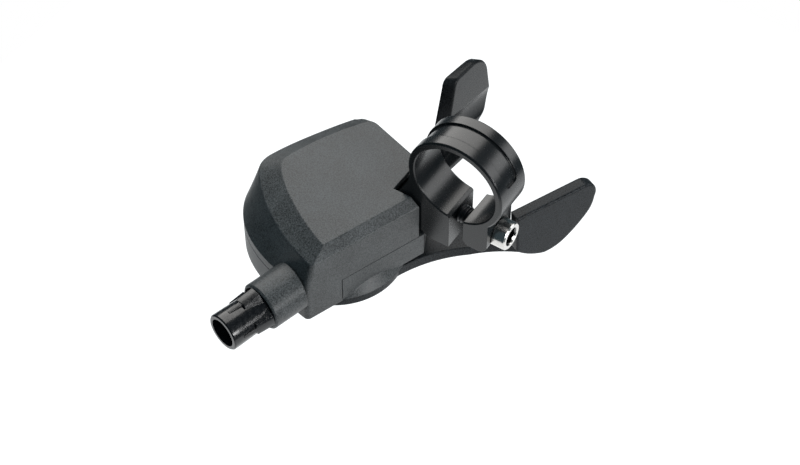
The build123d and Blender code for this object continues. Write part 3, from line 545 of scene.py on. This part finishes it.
class RingTree:
    """A Geometry Nodes tree that repeats a mesh round the Z axis."""

    def __init__(self, material: bpy.types.Material) -> None:
        """Builds the tree.

        Args:
            material: What the copies are finished in.
        """
        self.tree = bpy.data.node_groups.new("ring_of_copies", "GeometryNodeTree")
        self.tree.interface.new_socket("Geometry", in_out="OUTPUT", socket_type="NodeSocketGeometry")
        self.tree.interface.new_socket("Geometry", in_out="INPUT", socket_type="NodeSocketGeometry")
        self.count = self.tree.interface.new_socket("Count", in_out="INPUT", socket_type="NodeSocketInt").identifier
        wiring = Wiring(self.tree)
        given = wiring.add("NodeGroupInput")
        points = wiring.add("GeometryNodePoints")
        wiring.join(given.outputs["Count"], points.inputs["Count"])
        copies = wiring.add("GeometryNodeInstanceOnPoints")
        wiring.join(points.outputs["Points"], copies.inputs["Points"])
        wiring.join(given.outputs["Geometry"], copies.inputs["Instance"])
        wiring.join(self._turn(wiring, given.outputs["Count"]), copies.inputs["Rotation"])
        wiring.close(copies.outputs["Instances"], material)

    def _turn(self, wiring: Wiring, count: Socket) -> Socket:
        """Adds the turn of each copy about the axis.

        Args:
            wiring: Where the nodes go.
            count: The socket with the number of copies.

        Returns:
            The socket with the turn.
        """
        index = wiring.add("GeometryNodeInputIndex").outputs["Index"]
        share = wiring.reckon("DIVIDE", index, count)
        euler = wiring.add("ShaderNodeCombineXYZ")
        wiring.join(wiring.reckon("MULTIPLY", share, math.tau), euler.inputs["Z"])
        turn = wiring.add("FunctionNodeEulerToRotation")
        wiring.join(euler.outputs["Vector"], turn.inputs["Euler"])
        return turn.outputs["Rotation"]

    def repeat(self, name: str, mesh: bpy.types.Mesh, count: int, place: Matrix) -> bpy.types.Object:
        """Makes one ring of copies of a mesh, at a place in metres and with its own Z along the ring's axis."""
        return grown(name, mesh, self.tree, {self.count: count}, place)


@dataclass
class SubAssembly:
    """Some of the part's CAD nodes that belong together, with what the scene adds to them."""

    title: str
    nodes: tuple[str, ...]

    def dress(self, frame: Frame, paints: Paints) -> None:
        """Lays the record's finish on each of the nodes.

        Args:
            paints: The finishes.
        """
        slots = {row["node"]: row["material_slot"] for row in frame["record"]["subparts"]}
        for node in self.nodes:
            paints.lay(frame["nodes"][node], Slot.named(slots[node]))
            LOG.info("%s: %s in %s", self.title, node, slots[node])

    def build(self, frame: Frame, paints: Paints) -> None:
        """Adds the pieces that the CAD nodes lack; most groups lack none."""


@dataclass
class BarClamp(SubAssembly):
    """The band round the handlebar, its bolt and the screws of its foot.

    The gap's two faces are places along Y. The thread is buried a little in both.
    """

    title: str = "bar clamp"
    nodes: tuple[str, ...] = ("handlebar_clamp", "clamp_bolt", "bracket_screws")
    gap_rear: float = -2.8
    gap_front: float = 1.1
    bolt_height: float = -14.8
    buried: float = 0.8
    core_radius: float = 2.02
    crest_radius: float = 2.36
    pitch: float = 0.8

    def build(self, frame: Frame, paints: Paints) -> None:
        """Winds the thread that shows where the bolt crosses the gap, in the dark screw finish instead of the bolt's
        bright plating: painted shade for the bolt lying in shadow in the gap.

        Args:
            paints: The finishes.
        """
        # Painted shade: the thread of the bright plated bolt takes the dark screw finish because it lies in shadow in
        # the gap.
        tree = ThreadTree(paints.material(Slot.DARK_SCREW))
        sizes = {
            "Core Radius": self.core_radius,
            "Crest Radius": self.crest_radius,
            "Pitch": self.pitch,
            "Length": self.gap_front - self.gap_rear + 2.0 * self.buried,
        }
        foot = Vector((0.0, self.gap_rear - self.buried, self.bolt_height)) * MM
        place = Matrix.Translation(foot) @ Matrix.Rotation(math.radians(-90.0), 4, "X")
        thread = tree.wind("bolt_thread", sizes, place)
        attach(thread, "housing")
        LOG.info("%s: %s with %d faces", self.title, thread.name, len(thread.data.polygons))


@dataclass
class Case(SubAssembly):
    """The two covers and their screws."""

    title: str = "case"
    nodes: tuple[str, ...] = ("upper_cover", "lower_cover", "cover_screws")


@dataclass
class ThumbLever(SubAssembly):
    """The lever that winds the drum, with its pawl carrier."""

    title: str = "thumb lever"
    nodes: tuple[str, ...] = ("thumb_lever", "pawl_carrier", "wind_pawl_pin", "thumb_spring")


@dataclass
class ReleaseTrigger(SubAssembly):
    """The lever that lets the drum go back."""

    title: str = "release trigger"
    nodes: tuple[str, ...] = ("release_lever",)


@dataclass(frozen=True)
class FinRow:
    """One section of a fin: its place along the axis from the joint, and its sizes.

    The height is over the axis, half is half its width on top, and spread is how much wider each side of its foot is.
    """

    along: float
    height: float
    half: float
    spread: float


@dataclass
class BarrelAdjuster(SubAssembly):
    """The finned barrel and the spring behind it.

    The fins are turned by fin_turn degrees from the top. Their feet lie inside the barrel, fin_foot from its axis.
    """

    title: str = "barrel"
    nodes: tuple[str, ...] = ("barrel_adjuster", "detent_spring")
    fins: int = 4
    fin_turn: float = 7.0
    fin_foot: float = 3.4
    fin_rows: tuple[FinRow, ...] = (
        FinRow(-5.45, 5.95, 1.5, 1.35),
        FinRow(-0.85, 5.45, 1.65, 0.2),
        FinRow(-0.75, 5.3, 0.6, 0.1),
        FinRow(2.85, 4.95, 0.38, 0.05),
    )
    fin_steps: int = 6
    sharp_degrees: float = 30.0

    def build(self, frame: Frame, paints: Paints) -> None:
        """Raises the finger fins round the barrel.

        Args:
            paints: The finishes.
        """
        joint = next(row for row in frame["joints"] if row["name"] == "barrel_turn")
        axis, up = Vector(joint["axis"]).normalized(), Vector(UP)
        turn = Matrix((up, axis.cross(up), axis)).transposed().to_4x4()
        first = Matrix.Rotation(math.radians(self.fin_turn), 4, "Z")
        place = Matrix.Translation(joint["pos_m"]) @ turn @ first
        ring = RingTree(paints.material(Slot.BARREL_PLASTIC))
        fins = ring.repeat("barrel_fins", self._fin(), self.fins, place)
        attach(fins, "barrel")
        LOG.info("%s: %s with %d faces", self.title, fins.name, len(fins.data.polygons))

    def _section(self, row: FinRow) -> list[Point]:
        """Gives the corners of one section of a fin, in order round it.

        Args:
            row: The section.

        Returns:
            The corners of its top, then the two of its foot.
        """
        reach = math.asin(row.half / row.height)
        corners: list[Point] = []
        for step in range(self.fin_steps + 1):
            angle = reach * (2.0 * step / self.fin_steps - 1.0)
            corners.append((row.height * math.cos(angle), row.height * math.sin(angle), row.along))
        corners.append((self.fin_foot, row.half + row.spread, row.along))
        corners.append((self.fin_foot, -row.half - row.spread, row.along))
        return corners

    def _fin(self) -> bpy.types.Mesh:
        """Makes one fin on the X side of the Z axis.

        Returns:
            The closed mesh of the fin.
        """
        sections = [self._section(row) for row in self.fin_rows]
        across = len(sections[0])
        points = [Vector(corner) * MM for section in sections for corner in section]
        faces = [tuple(range(across))[::-1]]
        for row in range(len(sections) - 1):
            for step in range(across):
                a, b = row * across + step, row * across + (step + 1) % across
                faces.append((a, b, b + across, a + across))
        faces.append(tuple(range(len(points) - across, len(points))))
        mesh = bpy.data.meshes.new("barrel_fin")
        mesh.from_pydata(points, [], faces)
        mesh.shade_smooth()
        mesh.set_sharp_from_angle(angle=math.radians(self.sharp_degrees))
        return mesh


@dataclass
class DrumWorks(SubAssembly):
    """The drum on its axle, with the ratchet and the return spring."""

    title: str = "drum and axle"
    nodes: tuple[str, ...] = (
        "cable_drum", "ratchet_wheel", "drum_spring", "main_axle", "axle_washer", "axle_nut",
    )


@dataclass
class PawlWorks(SubAssembly):
    """The steel plate with the pawls, their pins and springs."""

    title: str = "pawls"
    nodes: tuple[str, ...] = (
        "base_plate", "pawl_pins", "hold_pawl", "wind_pawl", "stop_pawl",
        "hold_pawl_spring", "stop_pawl_spring", "wind_pawl_spring",
    )


@dataclass(frozen=True)
class Lamp:
    """A soft lamp, with its place, its width and length, its power and which way its length runs."""

    name: str
    place: Point
    size: Pair
    watts: float
    tint: Colour = WHITE
    along: Point = UP

    def hang(self, target: Point) -> None:
        """Adds the lamp to the scene, facing the part.

        Args:
            target: The point that it faces.
        """
        data = bpy.data.lights.new(self.name, "AREA")
        data.shape = "RECTANGLE"
        data.size, data.size_y = self.size
        data.color = self.tint
        data.energy = self.watts
        away = (Vector(self.place) - Vector(target)).normalized()
        across = Vector(self.along).cross(away).normalized()
        turn = Matrix((across, away.cross(across), away)).transposed()
        lamp = bpy.data.objects.new(self.name, data)
        lamp.matrix_world = Matrix.Translation(self.place) @ turn.to_4x4()
        bpy.context.scene.collection.objects.link(lamp)


@dataclass
class Studio:
    """Floor, lamps, surround and the camera of the photograph.

    The surround's light falls to shade_left of itself towards shade_side, over shade_span of the cosine to that side.
    Reflections see it go from dusk to white over dusk_span of the sine below the horizon.
    """

    eye_mm: Point = (-263.98, -154.23, 330.87)
    azimuth: float = -56.75
    elevation: float = 49.1
    lens: float = 85.5
    sensor: float = 36.0
    clip_start: float = 0.01
    target: Point = (0.0, 0.02, -0.02)
    floor_drop: float = 0.09
    floor_half: float = 0.22
    floor_tone: float = 0.2
    floor_rough: float = 0.9
    floor_glow: float = 0.96
    ambient: float = 0.5
    ambient_tint: Colour = (0.66, 1.0, 1.17)
    shade_side: Point = (-0.85, 0.45, -0.8)
    shade_span: Pair = (0.0, 0.6)
    shade_left: float = 0.08
    dusk: Colour = (0.045, 0.065, 0.076)
    dusk_span: Pair = (0.45, 0.65)
    lamps: tuple[Lamp, ...] = (
        Lamp("overhead_strip", (0.4, 0.33, 0.5), (0.42, 1.0), 5.2, (1.0, 0.98, 0.95), (0.0, -0.82, 0.58)),
        Lamp("right_fill", (0.5, -0.5, 0.24), (0.35, 0.35), 1.2),
        Lamp("front_fill", (-0.12, -0.6, 0.13), (0.3, 0.16), 2.9),
    )

    def build(self) -> None:
        """Sets the surround, the floor, the lamps and the camera."""
        scene = bpy.context.scene
        scene.view_settings.view_transform = "Standard"
        self._world(scene)
        self._floor(scene)
        for lamp in self.lamps:
            lamp.hang(self.target)
        self._camera(scene)

    def _world(self, scene: bpy.types.Scene) -> None:
        """Makes the surround: white to the camera, dusk over white in reflections, and a dim light on the part.

        Args:
            scene: The scene that it goes to.
        """
        world = bpy.data.worlds.new("pale_surround")
        world.use_nodes = True
        scene.world = world
        wiring = Wiring(world.node_tree)
        lit = world.node_tree.nodes["Background"]
        lit.inputs["Strength"].default_value = self.ambient
        wiring.join(self._shaded_side(wiring), lit.inputs["Color"])
        seen = wiring.add("ShaderNodeBackground", Strength=1.0)
        seen.inputs["Color"].default_value = rgba(WHITE)
        mirrored = wiring.add("ShaderNodeBackground", Strength=1.0)
        wiring.join(self._dusk(wiring), mirrored.inputs["Color"])
        rays = wiring.add("ShaderNodeLightPath").outputs
        inner = wiring.add("ShaderNodeMixShader")
        wiring.join(wiring.reckon("MAXIMUM", rays["Is Glossy Ray"], rays["Is Transmission Ray"]), inner.inputs["Fac"])
        wiring.join(lit.outputs["Background"], inner.inputs[1])
        wiring.join(mirrored.outputs["Background"], inner.inputs[2])
        outer = wiring.add("ShaderNodeMixShader")
        wiring.join(rays["Is Camera Ray"], outer.inputs["Fac"])
        wiring.join(inner.outputs["Shader"], outer.inputs[1])
        wiring.join(seen.outputs["Background"], outer.inputs[2])
        wiring.join(outer.outputs["Shader"], world.node_tree.nodes["World Output"].inputs["Surface"])

    def _shaded_side(self, wiring: Wiring) -> Socket:
        """Adds the light of the surround, which falls off towards the shaded side.

        Args:
            wiring: Where the nodes go.

        Returns:
            The socket with the light's colour.
        """
        place = wiring.add("ShaderNodeTexCoord")
        towards = wiring.add("ShaderNodeVectorMath", operation="DOT_PRODUCT")
        towards.inputs[1].default_value = Vector(self.shade_side).normalized()
        wiring.join(place.outputs["Generated"], towards.inputs[0])
        ends = (self.ambient_tint, scaled(self.ambient_tint, self.shade_left))
        return wiring.ramp(towards.outputs["Value"], self.shade_span, ends)

    def _dusk(self, wiring: Wiring) -> Socket:
        """Adds the surround that reflections see, white low down and dim above.

        Args:
            wiring: Where the nodes go.

        Returns:
            The socket with the surround's colour.
        """
        place = wiring.add("ShaderNodeTexCoord")
        split = wiring.add("ShaderNodeSeparateXYZ")
        wiring.join(place.outputs["Generated"], split.inputs["Vector"])
        drop = wiring.reckon("MULTIPLY", split.outputs["Z"], -1.0)
        return wiring.ramp(drop, self.dusk_span, (self.dusk, WHITE))

    def _floor(self, scene: bpy.types.Scene) -> None:
        """Lays a plain pale floor a little under the part.

        Args:
            scene: The scene that it goes to.
        """
        low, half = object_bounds()[0][2] - self.floor_drop, self.floor_half
        corners = [(-half, -half, low), (half, -half, low), (half, half, low), (-half, half, low)]
        mesh = bpy.data.meshes.new("studio_floor")
        mesh.from_pydata(corners, [], [(0, 1, 2, 3)])
        mesh.materials.append(self._floor_paint())
        floor = bpy.data.objects.new("studio_floor", mesh)
        scene.collection.objects.link(floor)
        floor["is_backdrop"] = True

    def _floor_paint(self) -> bpy.types.Material:
        """Makes the floor's material, which looks white to the camera and in reflections.

        Returns:
            The material.
        """
        material = bpy.data.materials.new("pale_floor")
        material.use_nodes = True
        wiring = Wiring(material.node_tree)
        shader = material.node_tree.nodes["Principled BSDF"]
        shader.inputs["Base Color"].default_value = rgba(scaled(WHITE, self.floor_tone))
        shader.inputs["Roughness"].default_value = self.floor_rough
        shader.inputs["Specular IOR Level"].default_value = 0.0
        glow = wiring.add("ShaderNodeEmission", Strength=self.floor_glow)
        glowing = wiring.add("ShaderNodeAddShader")
        wiring.join(shader.outputs["BSDF"], glowing.inputs[0])
        wiring.join(glow.outputs["Emission"], glowing.inputs[1])
        rays = wiring.add("ShaderNodeLightPath").outputs
        straight = wiring.reckon("MAXIMUM", rays["Is Camera Ray"], rays["Is Glossy Ray"])
        mixed = wiring.add("ShaderNodeMixShader")
        wiring.join(wiring.reckon("MAXIMUM", straight, rays["Is Transmission Ray"]), mixed.inputs["Fac"])
        wiring.join(shader.outputs["BSDF"], mixed.inputs[1])
        wiring.join(glowing.outputs["Shader"], mixed.inputs[2])
        wiring.join(mixed.outputs["Shader"], material.node_tree.nodes["Material Output"].inputs["Surface"])
        return material

    def _camera(self, scene: bpy.types.Scene) -> None:
        """Sets the camera where the photograph was taken from.

        Args:
            scene: The scene that it goes to.
        """
        data = bpy.data.cameras.new("photo_camera")
        data.sensor_fit = "HORIZONTAL"
        data.sensor_width = self.sensor
        data.lens = self.lens
        data.clip_start = self.clip_start
        camera = bpy.data.objects.new("photo_camera", data)
        turn, tilt = math.radians(self.azimuth), math.radians(90.0 - self.elevation)
        camera.matrix_world = (
            Matrix.Translation(Vector(self.eye_mm) * MM)
            @ Matrix.Rotation(turn, 4, "Z")
            @ Matrix.Rotation(tilt, 4, "X")
        )
        scene.collection.objects.link(camera)
        scene.camera = camera


def main() -> None:
    """Builds the dressed part and its studio."""
    logging.basicConfig(level=logging.INFO, format="%(name)s %(message)s")
    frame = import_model()
    paints = Paints()
    for group in (BarClamp(), Case(), ThumbLever(), ReleaseTrigger(), BarrelAdjuster(), DrumWorks(), PawlWorks()):
        group.dress(frame, paints)
        group.build(frame, paints)
    Studio().build()


if __name__ == "__main__":
    main()
